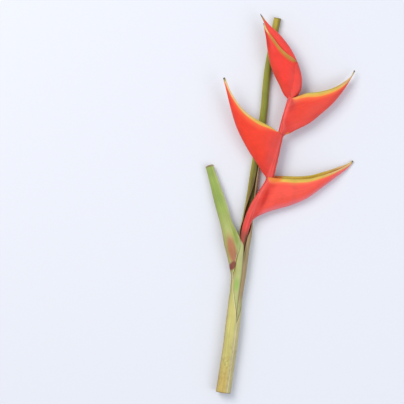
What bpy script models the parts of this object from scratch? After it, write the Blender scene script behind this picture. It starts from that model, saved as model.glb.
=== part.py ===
"""Heliconia flower: one cut stem of the erect lobster-claw kind, lying on its side.

The frame: +Y runs along the stem from the cut end to the flower, +X is the side of the
lowest bract, +Z is up, and the surface that the stem lies on is Z = 0.
Sizes and places are in millimetres. MM turns them into Blender's metres at the end.
"""

import math
from dataclasses import dataclass

import bmesh
import bpy
import numpy as np
from mathutils import Vector

MM = 0.001

# The middle of the stem's box in plan, which becomes the origin.
CENTRE = (-0.6, -1.3, 0.0)

# The gap left where a piece sits on its neighbour, and the block below the surface.
SEAT_GAP = 0.3
FLOOR_BLOCK = (400.0, 800.0, 10.0)

# How finely the solids are faceted.
BRACT_RINGS = 15
BRACT_STEPS = 5
RINGS_PER_STATION = 2
SHEATH_STEPS = 16
STALK_RINGS = 28
STALK_SIDES = 12
BUD_RINGS = 5
BUD_SIDES = 5
PAD_POINTS = 7

# How the shapes turn round: the stalk's end as shares of its radius (forward, reach), the
# share of its wall that a sheath loses at its margins, and how much a bract's rings crowd
# toward its base. The keel is half straight-sided and half rounded.
STALK_DOME = ((0.45, 0.85), (0.75, 0.5))
MARGIN_THINNING = 0.5
BASE_CROWDING = 1.1
KEEL_ROUNDNESS = 0.5

# The share of a bract over which its hollow closes, and the least part of the outer width
# that the hollow keeps.
HOLLOW_FADE = 0.2
LEAST_HOLLOW = 0.3

# The flower stalk: x, y, z and radius, from the cut end to the youngest bract.
STALK = (
    (-103.5, -341.0, 12.5, 7.0),
    (-90.5, -252.5, 12.9, 7.0),
    (-78.5, -159.5, 13.1, 7.0),
    (-71.5, -105.5, 13.2, 7.0),
    (-68.0, -71.0, 13.5, 6.9),
    (-61.5, -38.5, 16.0, 6.9),
    (-48.5, -4.5, 18.9, 6.9),
    (-34.0, 19.0, 20.8, 6.7),
    (-21.5, 40.5, 22.3, 6.4),
    (-12.5, 73.0, 23.2, 6.0),
    (-2.5, 116.0, 24.0, 5.6),
    (6.5, 152.0, 24.8, 5.2),
    (17.0, 189.0, 25.5, 4.7),
)


@dataclass(frozen=True)
class SheathRing:
    """One cross-section of a leaf sheath or its petiole: an open ring of an ellipse.

    The angles are in degrees from +X toward +Z, as seen from the cut end.
    """

    centre: tuple
    radii: tuple
    first_angle: float
    last_angle: float
    wall: float


# The outer leaf: a ring round the stem that opens on the left into a short petiole stub.
OUTER_LEAF = (
    SheathRing((-103.5, -341.0, 12.4), (13.6, 12.8), 63.0, 419.0, 2.7),
    SheathRing((-90.5, -252.5, 12.9), (13.1, 12.6), 64.0, 420.0, 2.5),
    SheathRing((-86.0, -216.0, 13.0), (13.2, 12.6), 60.0, 415.0, 2.4),
    SheathRing((-83.8, -198.5, 13.1), (13.2, 12.6), 74.0, 384.0, 2.3),
    SheathRing((-81.8, -182.5, 13.1), (13.3, 12.6), 94.0, 354.0, 2.2),
    SheathRing((-77.0, -146.5, 13.2), (13.5, 12.6), 142.0, 322.0, 1.8),
    SheathRing((-76.5, -128.5, 13.2), (13.6, 12.4), 152.0, 300.0, 1.8),
    SheathRing((-79.0, -113.0, 13.4), (13.8, 12.4), 112.0, 274.0, 1.8),
    SheathRing((-81.5, -92.5, 14.2), (15.6, 11.8), 76.0, 255.0, 2.0),
    SheathRing((-84.8, -71.0, 15.4), (17.5, 12.9), 36.0, 245.0, 2.2),
    SheathRing((-96.5, -33.5, 12.6), (13.2, 8.6), 38.0, 268.0, 2.8),
    SheathRing((-110.5, 11.5, 9.6), (11.2, 7.6), 34.0, 300.0, 3.6),
    SheathRing((-128.5, 70.0, 6.5), (7.8, 6.8), 30.0, 330.0, 3.8),
)

# The inner leaf: a ring inside the outer one that opens behind the flower stalk into a
# long petiole. Its slit shows as a fine line, and the petiole's groove turns to the side.
INNER_LEAF = (
    SheathRing((-103.5, -341.0, 12.5), (10.3, 9.7), 66.5, 423.5, 2.2),
    SheathRing((-90.5, -252.5, 12.9), (10.1, 9.7), 66.5, 423.5, 2.2),
    SheathRing((-79.6, -169.0, 13.1), (10.6, 10.0), 66.5, 423.5, 2.4),
    SheathRing((-74.2, -128.5, 13.3), (12.0, 10.4), 67.0, 424.0, 2.9),
    SheathRing((-71.0, -100.5, 13.2), (12.2, 10.4), 73.0, 429.0, 2.9),
    SheathRing((-67.9, -77.0, 13.0), (12.2, 10.8), 84.0, 424.0, 2.6),
    SheathRing((-65.6, -64.0, 11.9), (12.4, 10.2), 136.0, 422.0, 2.2),
    SheathRing((-62.6, -47.0, 9.8), (12.0, 9.0), 172.0, 398.0, 2.2),
    SheathRing((-58.0, -20.5, 7.8), (9.8, 7.8), 160.0, 376.0, 3.2),
    SheathRing((-53.5, 8.0, 6.9), (8.8, 7.0), 120.0, 400.0, 4.4),
    SheathRing((-49.0, 40.5, 6.7), (8.2, 6.7), 74.0, 402.0, 5.0),
    SheathRing((-40.5, 96.5, 6.6), (7.6, 6.4), 52.0, 388.0, 5.3),
    SheathRing((-29.5, 168.5, 6.6), (6.9, 6.3), 35.0, 375.0, 5.3),
    SheathRing((-23.0, 238.5, 6.5), (6.6, 6.3), 35.0, 375.0, 5.3),
    SheathRing((-5.0, 336.5, 6.0), (6.5, 6.3), 35.0, 375.0, 5.3),
)


@dataclass(frozen=True)
class Bract:
    """One boat-shaped bract, folded along its keel.

    The keel and the near margin are drawn in plan, from the stalk to the tip. Heights are
    at the base and at the tip. A profile has five values at even steps from base to tip.
    """

    name: str
    keel: tuple
    margin: tuple
    keel_heights: tuple
    margin_heights: tuple
    half_gap: tuple
    far_lift: tuple
    base_bow: tuple = (0.0, 0.0)
    closing: float = 0.62
    wall: tuple = (2.2, 1.3)
    hollow_end: float = 0.9


BRACTS = (
    Bract(
        name="bract_1_right",
        keel=((-55.5, -40.5), (-45.0, -26.0), (-27.0, -17.0), (20.0, -2.5), (47.0, 9.0),
              (74.0, 28.0), (103.0, 49.5), (121.0, 63.5), (132.2, 75.6)),
        margin=((-20.5, 46.0), (-14.0, 45.6), (7.5, 44.6), (29.0, 43.4), (56.0, 45.5),
                (74.0, 50.5), (103.0, 60.8), (121.0, 70.5), (130.4, 78.2)),
        keel_heights=(15.6, 3.0),
        margin_heights=(22.3, 3.0),
        half_gap=(8.9, 12.0, 12.0, 7.4, 0.8),
        far_lift=(4.5, 6.0, 6.8, 6.4, 0.0),
    ),
    Bract(
        name="bract_2_left",
        keel=((-27.0, 43.0), (-39.5, 66.0), (-57.0, 92.5), (-81.5, 140.5), (-91.5, 173.5),
              (-99.5, 206.5), (-104.4, 225.0)),
        margin=((0.0, 124.0), (-20.0, 138.0), (-39.5, 148.0), (-63.5, 164.0),
                (-87.5, 195.0), (-101.0, 226.0)),
        keel_heights=(22.4, 37.0),
        margin_heights=(24.2, 37.0),
        half_gap=(8.4, 11.4, 10.8, 6.4, 0.8),
        far_lift=(0.0, -1.5, -1.5, -1.0, 0.0),
    ),
    Bract(
        name="bract_3_right",
        keel=((4.5, 119.0), (22.0, 129.5), (52.0, 145.0), (74.0, 162.5), (95.5, 182.0),
              (117.5, 210.0), (134.8, 239.0)),
        margin=((26.0, 191.0), (47.5, 197.6), (65.0, 198.8), (87.0, 203.2), (109.0, 212.8),
                (126.0, 227.5), (132.8, 240.8)),
        keel_heights=(24.2, 12.0),
        margin_heights=(25.2, 12.0),
        half_gap=(7.5, 10.8, 10.2, 6.2, 0.8),
        far_lift=(1.0, 2.5, 3.2, 3.8, 0.0),
        base_bow=(-7.0, 2.0),
    ),
    Bract(
        name="bract_4_left",
        keel=((13.0, 185.0), (3.8, 198.0), (-2.4, 211.5), (-12.5, 231.5), (-19.5, 251.0),
              (-24.5, 276.5), (-27.5, 299.0), (-32.3, 323.4)),
        margin=((30.5, 253.6), (24.2, 258.8), (9.4, 269.0), (-2.0, 279.9), (-12.4, 293.7),
                (-23.0, 308.0), (-30.9, 323.8)),
        keel_heights=(25.4, 31.0),
        margin_heights=(26.2, 31.0),
        half_gap=(9.4, 10.2, 9.2, 6.4, 0.8),
        far_lift=(0.0, -1.5, -1.5, -1.0, 0.0),
        base_bow=(2.5, -1.0),
    ),
    Bract(
        name="bract_5_young",
        keel=((20.5, 184.0), (35.5, 204.5), (37.2, 222.5), (31.5, 247.5), (21.0, 272.0),
              (9.0, 290.0), (-5.0, 306.0), (-22.0, 321.5), (-37.0, 340.4)),
        margin=((18.0, 190.0), (17.5, 205.0), (15.5, 222.5), (10.0, 244.0), (0.0, 269.0),
                (-14.0, 290.0), (-22.0, 305.0), (-28.2, 319.5), (-37.8, 339.6)),
        keel_heights=(25.5, 33.0),
        margin_heights=(25.5, 33.0),
        half_gap=(2.2, 2.8, 2.6, 1.6, 0.6),
        far_lift=(0.0, 0.0, 0.0, 0.0, 0.0),
        closing=0.85,
        hollow_end=0.0,
    ),
)

# The true flowers: slim buds that stand on a pad in the keel of each opened bract. A bud
# has its start and end along the bract, its height up the fold and its lean to one side.
FLOWER_PAD = (0.08, 0.22)
FLOWER_PAD_STEPS = 0.38
BUD_RADIUS = 2.1
BUD_FOOT = 0.15
BUD_SHAPE = (0.7, 0.8, 1.0, 0.85, 0.3)
BUDS = ((0.10, 0.42, 0.75, -0.5), (0.12, 0.50, 0.60, 0.6), (0.15, 0.40, 0.45, -0.7),
        (0.17, 0.34, 0.35, 0.4))

RED = (0.86, 0.08, 0.05)
ROSE = (0.80, 0.16, 0.14)
SHEATH_GREEN = (0.36, 0.47, 0.14)
PETIOLE_GREEN = (0.24, 0.33, 0.09)
FLOWER_WHITE = (0.80, 0.84, 0.62)


def clear_scene():
    """Remove every object that the scene starts with."""
    for thing in list(bpy.data.objects):
        bpy.data.objects.remove(thing, do_unlink=True)


def make_material(name, colour, roughness):
    """A plain Principled material for one node."""
    material = bpy.data.materials.new(name)
    material.use_nodes = True
    shader = material.node_tree.nodes["Principled BSDF"]
    shader.inputs["Base Color"].default_value = (*colour, 1.0)
    shader.inputs["Roughness"].default_value = roughness
    shader.inputs["Metallic"].default_value = 0.0
    return material


def lengths_along(points):
    """Where each point of a path lies along it, from 0 to 1 by length."""
    steps = np.linalg.norm(np.diff(np.array(points, float)[:, :3], axis=0), axis=1)
    return np.concatenate([[0.0], np.cumsum(steps)]) / steps.sum()


def hermite(knots, slopes, places, samples):
    """Read the cubic through the knots, which has the slopes given there."""
    samples = np.asarray(samples, float)
    left = np.clip(np.searchsorted(places, samples, side="right") - 1, 0, len(places) - 2)
    span = (places[left + 1] - places[left])[:, None]
    t = (samples[:, None] - places[left][:, None]) / span
    return (
        (2 * t**3 - 3 * t**2 + 1) * knots[left]
        + (t**3 - 2 * t**2 + t) * span * slopes[left]
        + (3 * t**2 - 2 * t**3) * knots[left + 1]
        + (t**3 - t**2) * span * slopes[left + 1]
    )


def smooth_curve(points, samples):
    """Read a rounded path through the points at the samples, from 0 to 1 by length."""
    knots = np.array(points, float)
    places = lengths_along(points)
    return hermite(knots, np.gradient(knots, places, axis=0), places, samples)


def steady_values(rows, places, samples):
    """Read smooth values that never pass beyond the rows on either side."""
    knots = np.array(rows, float)
    rises = np.diff(knots, axis=0) / np.diff(places)[:, None]
    slopes = np.zeros_like(knots)
    before, after = rises[:-1], rises[1:]
    agree = before * after > 0.0
    total = np.where(agree, before + after, 1.0)
    slopes[1:-1] = np.where(agree, 2.0 * before * after / total, 0.0)
    return hermite(knots, slopes, places, samples)


def profile(values, samples):
    """Read evenly spaced values as a smooth curve from 0 to 1."""
    knots = np.array(values, float)[:, None]
    return steady_values(knots, np.linspace(0.0, 1.0, len(knots)), samples)[:, 0]


def ring_frames(centres):
    """The right-hand and upward directions across a path, at each of its points."""
    along = np.gradient(centres, axis=0)
    along /= np.linalg.norm(along, axis=1)[:, None]
    right = np.cross(along, (0.0, 0.0, 1.0))
    right /= np.linalg.norm(right, axis=1)[:, None]
    return right, np.cross(right, along)


def object_from_mesh(name, bm):
    """Turn a bmesh in millimetres into an object in metres with its faces pointing out."""
    bmesh.ops.triangulate(bm, faces=bm.faces)
    bmesh.ops.recalc_face_normals(bm, faces=bm.faces)
    bmesh.ops.translate(bm, vec=-Vector(CENTRE), verts=bm.verts)
    bmesh.ops.scale(bm, vec=(MM, MM, MM), verts=bm.verts)
    mesh = bpy.data.meshes.new(name)
    bm.to_mesh(mesh)
    bm.free()
    made = bpy.data.objects.new(name, mesh)
    bpy.context.scene.collection.objects.link(made)
    return made


def cap(bm, loop):
    """Close a loop with a ladder of faces between its first half and its second."""
    for i in range((len(loop) - 1) // 2):
        j = len(loop) - 1 - i
        if i + 1 < j - 1:
            bm.faces.new((loop[i], loop[i + 1], loop[j - 1], loop[j]))
        else:
            bm.faces.new((loop[i], loop[i + 1], loop[j]))


def loft(name, rings):
    """Close a row of rings, each a closed loop with the same number of points."""
    bm = bmesh.new()
    loops = [[bm.verts.new(point) for point in ring] for ring in rings]
    count = len(loops[0])
    for here, there in zip(loops, loops[1:]):
        for i in range(count):
            j = (i + 1) % count
            bm.faces.new((here[i], here[j], there[j], there[i]))
    cap(bm, loops[0])
    cap(bm, loops[-1])
    return object_from_mesh(name, bm)


def apply_boolean(target, cutter, operation):
    """Apply one exact Boolean to the target and remove the cutter."""
    modifier = target.modifiers.new(operation.lower(), "BOOLEAN")
    modifier.operation = operation
    modifier.solver = "EXACT"
    modifier.object = cutter
    with bpy.context.temp_override(object=target, active_object=target):
        bpy.ops.object.modifier_apply(modifier=modifier.name)
    bpy.data.objects.remove(cutter, do_unlink=True)


def keep_largest(target):
    """Drop the loose scraps that a cut leaves beside the main body."""
    bm = bmesh.new()
    bm.from_mesh(target.data)
    waiting = set(bm.verts)
    islands = []
    while waiting:
        island = {waiting.pop()}
        edge_of_search = list(island)
        while edge_of_search:
            vert = edge_of_search.pop()
            for edge in vert.link_edges:
                other = edge.other_vert(vert)
                if other in waiting:
                    waiting.remove(other)
                    island.add(other)
                    edge_of_search.append(other)
        islands.append(island)
    islands.sort(key=len)
    scraps = [vert for island in islands[:-1] for vert in island]
    bmesh.ops.delete(bm, geom=scraps, context="VERTS")
    bm.to_mesh(target.data)
    bm.free()


def stalk_rings(extra):
    """Closed rings of the flower stalk, its radius grown by extra millimetres."""
    stations = smooth_curve(STALK, np.linspace(0.0, 1.0, STALK_RINGS))
    right, up = ring_frames(stations[:, :3])
    angles = np.linspace(0.0, 2.0 * math.pi, STALK_SIDES, endpoint=False)
    rings = []
    for centre, radius, across, upward in zip(stations[:, :3], stations[:, 3], right, up):
        reach = radius + extra
        rings.append([
            centre + reach * (math.cos(a) * across + math.sin(a) * upward) for a in angles
        ])
    along = stations[-1, :3] - stations[-2, :3]
    along /= np.linalg.norm(along)
    dome = stations[-1, 3] + extra
    for lift, shrink in STALK_DOME:
        rings.append([
            stations[-1, :3] + along * dome * lift
            + dome * shrink * (math.cos(a) * right[-1] + math.sin(a) * up[-1])
            for a in angles
        ])
    return rings


def sheath_rings(stations):
    """Closed C-shaped rings of a leaf sheath that thins toward its two margins."""
    path = [s.centre for s in stations]
    shapes = [(*s.radii, s.first_angle, s.last_angle, s.wall) for s in stations]
    places = lengths_along(path)
    count = RINGS_PER_STATION * (len(places) - 1) + 1
    samples = np.interp(np.linspace(0, len(places) - 1, count), range(len(places)), places)
    centres = smooth_curve(path, samples)
    read = steady_values(shapes, places, samples)
    right, up = ring_frames(centres)
    rings = []
    for centre, shape, across, upward in zip(centres, read, right, up):
        wide, high, first, last, wall = shape
        side = np.linspace(-1.0, 1.0, SHEATH_STEPS + 1)
        angles = np.radians(first + (last - first) * (side + 1.0) / 2.0)
        thickness = wall * (1.0 - MARGIN_THINNING * side**4)
        outer = [
            centre + wide * math.cos(a) * across + high * math.sin(a) * upward
            for a in angles
        ]
        inner = [
            centre + (wide - w) * math.cos(a) * across + (high - w) * math.sin(a) * upward
            for a, w in zip(angles, thickness)
        ]
        rings.append(outer + inner[::-1])
    return rings


def bract_frame(bract, along):
    """The keel line, the middle of the margins and the half gap between them."""
    along = np.asarray(along, float)
    keel_plan = smooth_curve(bract.keel, along)
    margin_plan = smooth_curve(bract.margin, along)
    keel_z = bract.keel_heights[0] + np.diff(bract.keel_heights) * along
    margin_z = bract.margin_heights[0] + np.diff(bract.margin_heights) * along
    keel = np.column_stack([keel_plan, keel_z])
    near = np.column_stack([margin_plan, margin_z])
    depth = near - keel
    depth /= np.linalg.norm(depth, axis=1)[:, None]
    lift = profile(bract.far_lift, along)[:, None] * depth
    gap = np.zeros_like(near)
    gap[:, 2] = profile(bract.half_gap, along)
    gap -= lift / 2.0
    return keel, near + lift / 2.0, gap


def fold(bract, steps):
    """Height and width across one side of the fold, from the keel (0) to the margin (1)."""
    reach = np.abs(np.asarray(steps, float))
    rounded = 1.0 - np.cos(reach * math.pi / 2.0)
    height = reach + (rounded - reach) * KEEL_ROUNDNESS
    width = np.sin(reach * bract.closing * math.pi) / math.sin(bract.closing * math.pi)
    return height, width * np.sign(steps)


def bow(bract, along, height):
    """How far the base edge bends toward the stalk, fading along the bract."""
    strength = 4.0 * height * (1.0 - height) * (1.0 - along) ** 3
    return strength * np.array((*bract.base_bow, 0.0))


def bract_points(bract, along, steps, inset):
    """Points of the outer face, or of a face set in by a share of the wall and more."""
    keel, middle, gap = bract_frame(bract, along)
    keel_way = np.gradient(keel, axis=0)
    keel_way /= np.linalg.norm(keel_way, axis=1)[:, None]
    height, width = fold(bract, steps)
    points = np.zeros((len(along), len(steps), 3))
    for i, place in enumerate(along):
        floor, half, spread = keel[i], gap[i], width
        if inset is not None:
            inward = middle[i] - keel[i]
            inward -= np.dot(inward, keel_way[i]) * keel_way[i]
            room = np.linalg.norm(inward)
            floor = keel[i] + inward / room * min(bract.wall[0] + inset, 0.5 * room)
            ease = np.clip((bract.hollow_end - place) / HOLLOW_FADE, 0.0, 1.0)
            ease = ease * ease * (3.0 - 2.0 * ease)
            floor = middle[i] + (floor - middle[i]) * ease
            spread = steps + (width - steps) * ease
            thin = (bract.wall[1] + inset) / np.linalg.norm(half)
            half = half * max(1.0 - thin, LEAST_HOLLOW)
        for j in range(len(steps)):
            points[i, j] = (
                floor + (middle[i] - floor) * height[j] + half * spread[j]
                + bow(bract, place, height[j])
            )
    return points


def make_bract(bract):
    """A folded shell, open along its margins and solid near its tip."""
    along = np.linspace(0.0, 1.0, BRACT_RINGS) ** BASE_CROWDING
    steps = np.linspace(-1.0, 1.0, 2 * BRACT_STEPS + 1)
    outer = bract_points(bract, along, steps, None)
    inner = bract_points(bract, along, steps, 0.0)
    rings = [list(out) + list(back[::-1]) for out, back in zip(outer, inner)]
    return loft(bract.name, rings)


def make_pad(bract):
    """A low pad that lies in the keel of a bract and carries its flowers."""
    along = np.linspace(*FLOWER_PAD, BUD_RINGS)
    steps = np.linspace(-FLOWER_PAD_STEPS, FLOWER_PAD_STEPS, PAD_POINTS)
    return loft("flower_pad", bract_points(bract, along, steps, 2.0 * SEAT_GAP))


def make_bud(bract, start, end, height, lean):
    """One slim bud that leans along the bract, inside its hollow."""
    centres = []
    places = np.linspace(start, end, BUD_RINGS)
    climb = np.linspace(BUD_FOOT, height, BUD_RINGS)
    for along, step in zip(places, climb):
        sides = bract_points(bract, (along - 0.01, along), (-step, step), BUD_RADIUS)[1]
        centres.append(sides[0] + (sides[1] - sides[0]) * (lean + 1.0) / 2.0)
    centres = np.array(centres)
    right, up = ring_frames(centres)
    angles = np.linspace(0.0, 2.0 * math.pi, BUD_SIDES, endpoint=False)
    rings = [
        [c + BUD_RADIUS * r * (math.cos(a) * x + math.sin(a) * y) for a in angles]
        for c, r, x, y in zip(centres, BUD_SHAPE, right, up)
    ]
    return loft("bud", rings)


def make_flowers(name, bract):
    """The flower cluster of one bract: its buds joined to their pad, clear of the stalk."""
    cluster = make_pad(bract)
    cluster.name = name
    for bud in BUDS:
        apply_boolean(cluster, make_bud(bract, *bud), "UNION")
    apply_boolean(cluster, loft("stalk_cutter", stalk_rings(SEAT_GAP)), "DIFFERENCE")
    keep_largest(cluster)
    return cluster


def flatten_underside(target):
    """Cut what dips below the surface, which leaves a small flat spot to rest on."""
    wide, long, deep = FLOOR_BLOCK
    bm = bmesh.new()
    bmesh.ops.create_cube(bm, size=1.0)
    bmesh.ops.scale(bm, vec=(wide, long, deep), verts=bm.verts)
    bmesh.ops.translate(bm, vec=(0.0, 0.0, -deep / 2.0), verts=bm.verts)
    apply_boolean(target, object_from_mesh("floor_cutter", bm), "DIFFERENCE")


def finish(made, colour, roughness):
    """Give a node its own material and smooth shading."""
    made.data.materials.clear()
    made.data.materials.append(make_material(made.name, colour, roughness))
    made.data.shade_smooth()
    made.data.set_sharp_from_angle(angle=math.radians(40.0))


def build():
    """Model the stem's pieces from the outside of the pseudostem to the flowers."""
    clear_scene()
    outer_leaf = loft("outer_leaf_sheath", sheath_rings(OUTER_LEAF))
    flatten_underside(outer_leaf)
    finish(outer_leaf, SHEATH_GREEN, 0.45)
    inner_leaf = loft("inner_leaf_sheath", sheath_rings(INNER_LEAF))
    flatten_underside(inner_leaf)
    finish(inner_leaf, PETIOLE_GREEN, 0.5)
    stalk = loft("flower_stalk", stalk_rings(0.0))
    finish(stalk, ROSE, 0.4)
    for bract in BRACTS:
        made = make_bract(bract)
        apply_boolean(made, loft("stalk_cutter", stalk_rings(SEAT_GAP)), "DIFFERENCE")
        keep_largest(made)
        flatten_underside(made)
        finish(made, RED, 0.35)
        if bract.hollow_end > 0.0:
            cluster = make_flowers(bract.name.replace("bract", "flowers"), bract)
            finish(cluster, FLOWER_WHITE, 0.4)


build()
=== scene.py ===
"""The looks of one cut heliconia stem, lying on a pale studio floor.

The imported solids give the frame. Each piece here follows its solid's curves in fine steps
and adds the folds, ribs, rolled lips and dried tips that the eye sees. +Y runs from the cut
end to the flower, +X is the side of the lowest bract and +Z is up. Shapes are worked out in
millimetres, in the plan that the curves were drawn in, and become metres on the mesh.
"""

from __future__ import annotations

import logging
import math
from dataclasses import dataclass
from enum import Enum
from typing import Any

import bmesh
import bpy
import numpy as np
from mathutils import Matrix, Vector

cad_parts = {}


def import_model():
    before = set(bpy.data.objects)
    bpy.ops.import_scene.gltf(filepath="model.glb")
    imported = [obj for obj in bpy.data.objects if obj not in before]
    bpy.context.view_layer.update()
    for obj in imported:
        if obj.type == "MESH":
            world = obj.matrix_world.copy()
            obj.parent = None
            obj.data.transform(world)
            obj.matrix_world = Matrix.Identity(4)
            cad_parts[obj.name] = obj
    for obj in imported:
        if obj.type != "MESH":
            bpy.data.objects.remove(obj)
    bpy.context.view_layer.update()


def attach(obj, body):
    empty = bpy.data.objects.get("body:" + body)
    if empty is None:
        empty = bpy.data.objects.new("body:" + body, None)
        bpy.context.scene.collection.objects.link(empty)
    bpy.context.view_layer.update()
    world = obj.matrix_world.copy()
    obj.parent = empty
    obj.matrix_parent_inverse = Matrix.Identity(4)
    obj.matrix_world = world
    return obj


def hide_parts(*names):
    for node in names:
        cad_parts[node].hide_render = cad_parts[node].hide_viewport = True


LOG = logging.getLogger("heliconia")

MM = 0.001
BODY = "root"

# The middle of the stem's box in the plan that the curves are drawn in.
PLAN_CENTRE = np.array((-0.6, -1.3, 0.0))

# Points across a sheet crowd toward its two margins by this share, so that its lips are round.
LIP_CROWDING = 0.4

# The hollow of a bract keeps at least this share of the gap between its sides.
NARROWEST = 0.3

# The distance in millimetres from the margin for a surface that has none.
NO_EDGE = np.full((1, 1), 5.0)

# What is added to an outer point's distance from the lip, which only the inner face shows.
OUTSIDE = 99.0


class Mark(Enum):
    """What each point of a mesh is marked with, for its finish to follow."""

    ALONG = "along"
    LENGTH = "length_mm"
    ACROSS = "across_mm"
    TURN = "turn_degrees"
    EDGE = "edge_mm"
    LIP = "lip_mm"
    KEEL = "keel_mm"
    INSIDE = "inside"
    ROOT = "root"
    AGE = "age"
    FLUSH = "flush"
    # A real dark spot on the outer leaf, and painted shade on the stalk's foot, in the inner leaf's notch
    # and in the bracts' hollows.
    SPOT = "spot_and_shade"
    STREAK = "streak"
    PALE = "pale"
    CUT = "cut_mm"


Array = np.ndarray
Marks = dict[Mark, Array]
Pair = tuple[float, float]
Piece = bpy.types.Object
Socket = bpy.types.NodeSocket
Tree = bpy.types.NodeTree


# Curves, which the solids were drawn by as well.


def distances_along(points: Array) -> Array:
    """Find how far along a path each of its points is."""
    steps = np.linalg.norm(np.diff(points, axis=0), axis=1)
    return np.concatenate([[0.0], np.cumsum(steps)])


def lengths_along(points: Array) -> Array:
    """Find where each point of a path lies along it, from 0 to 1 by length."""
    distances = distances_along(points[:, :3])
    return distances / distances[-1]


def hermite(knots: Array, slopes: Array, places: Array, samples: Array) -> Array:
    """Read the cubic through some knots.

    Args:
        knots: the values at the places.
        slopes: how fast the values change there.
        places: where the knots are, rising.
        samples: where to read the curve.

    Returns:
        One row of values for each sample.
    """
    left = np.clip(np.searchsorted(places, samples, side="right") - 1, 0, len(places) - 2)
    span = (places[left + 1] - places[left])[:, None]
    t = (samples[:, None] - places[left][:, None]) / span
    return (
        (2 * t**3 - 3 * t**2 + 1) * knots[left]
        + (t**3 - 2 * t**2 + t) * span * slopes[left]
        + (3 * t**2 - 2 * t**3) * knots[left + 1]
        + (t**3 - t**2) * span * slopes[left + 1]
    )


def smooth_curve(points: Any, samples: Array) -> Array:
    """Read a rounded path through some points.

    Args:
        points: the path's own points.
        samples: where to read it, from 0 to 1 by length.

    Returns:
        One point for each sample.
    """
    knots = np.array(points, float)
    places = lengths_along(knots)
    return hermite(knots, np.gradient(knots, places, axis=0), places, samples)


def steady_values(knots: Array, places: Array, samples: Array) -> Array:
    """Read smooth values that never pass beyond the rows on either side.

    Args:
        knots: the values at the places.
        places: where they are, rising.
        samples: where to read them.

    Returns:
        One row of values for each sample.
    """
    rises = np.diff(knots, axis=0) / np.diff(places)[:, None]
    slopes = np.zeros_like(knots)
    before, after = rises[:-1], rises[1:]
    agree = before * after > 0.0
    total = np.where(agree, before + after, 1.0)
    slopes[1:-1] = np.where(agree, 2.0 * before * after / total, 0.0)
    return hermite(knots, slopes, places, samples)


def profile(values: tuple[float, ...], samples: Array) -> Array:
    """Read values at even steps from 0 to 1 as one smooth curve."""
    knots = np.array(values, float)[:, None]
    return steady_values(knots, np.linspace(0.0, 1.0, len(knots)), samples)[:, 0]


def ease(values: Array, start: float, end: float) -> Array:
    """Rise smoothly from 0 at the start value to 1 at the end value."""
    t = np.clip((values - start) / (end - start), 0.0, 1.0)
    return t * t * (3.0 - 2.0 * t)


def lip_spread(count: int) -> Array:
    """Spread places from -1 to 1 that crowd toward both ends."""
    even = np.linspace(-1.0, 1.0, count)
    return even * (1.0 - LIP_CROWDING) + np.sin(even * math.pi / 2.0) * LIP_CROWDING


def directions(moves: Array) -> Array:
    """Scale moves to a length of one."""
    return moves / np.linalg.norm(moves, axis=-1, keepdims=True)


def ring_frames(centres: Array) -> tuple[Array, Array]:
    """Find the right-hand and upward directions across a path.

    Args:
        centres: the points of the path.

    Returns:
        The two directions at each point.
    """
    along = directions(np.gradient(centres, axis=0))
    right = directions(np.cross(along, (0.0, 0.0, 1.0)))
    return right, np.cross(right, along)


def lay_rings(
    centres: Array, frames: tuple[Array, Array], wide: Array, high: Array, angles: Array
) -> Array:
    """Lay elliptical rings of points round a path.

    Args:
        centres: the points of the path.
        frames: the right-hand and upward directions there.
        wide: the rings' half widths.
        high: their half heights.
        angles: where the points lie round the rings.

    Returns:
        The points, ring by ring.
    """
    right, up = (way[:, None] for way in frames)
    aside, above = (wide * np.cos(angles))[..., None], (high * np.sin(angles))[..., None]
    return centres[:, None] + aside * right + above * up


def join_faces(outer: Array, inner: Array) -> Array:
    """Join an outer face to the inner one behind it, as one row of rings."""
    return np.concatenate([outer, inner[:, -2:0:-1]], axis=1)


@dataclass(frozen=True)
class Patch:
    """A soft oval patch of colour, as seen from above, with its long side near the Y axis."""

    mark: Mark
    centre: Pair
    reach: Pair
    lean: float = 0.0

    def cover(self, points: Array) -> Array:
        """Find how strongly the patch covers each point.

        Args:
            points: places in millimetres.

        Returns:
            Values from 0 to 1.
        """
        x, y = points[..., 0] - self.centre[0], points[..., 1] - self.centre[1]
        turn = math.radians(self.lean)
        along = y * math.cos(turn) - x * math.sin(turn)
        aside = x * math.cos(turn) + y * math.sin(turn)
        return np.exp(-((along / self.reach[0]) ** 2) - (aside / self.reach[1]) ** 2)


def cover_marks(patches: tuple[Patch, ...], points: Array, share: Array | float) -> Marks:
    """Mark how strongly some patches cover each point.

    Args:
        patches: the patches; those with the same mark join.
        points: places in millimetres.
        share: how much of each point may be covered.

    Returns:
        One set of values for each mark that the patches have.
    """
    marks: Marks = {}
    for patch in patches:
        cover = patch.cover(points) * share
        marks[patch.mark] = np.maximum(marks.get(patch.mark, 0.0), cover)
    return marks


def shell_marks(rings: Array, outer: Marks, patches: tuple[Patch, ...]) -> Marks:
    """Mark both faces of a thin wall, and which of them is the inner one.

    Args:
        rings: the points, with the outer face first in each ring.
        outer: values for the outer face, which the inner one shares.
        patches: patches of colour on the outer face.

    Returns:
        The marks of every point.
    """
    count = rings.shape[1]
    inside = (np.arange(count) > count // 2)[None, :].astype(float)
    marks = {mark: join_faces(values, values) for mark, values in outer.items()}
    return {**marks, Mark.INSIDE: inside, **cover_marks(patches, rings, 1.0 - inside)}


# Meshes.


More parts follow.
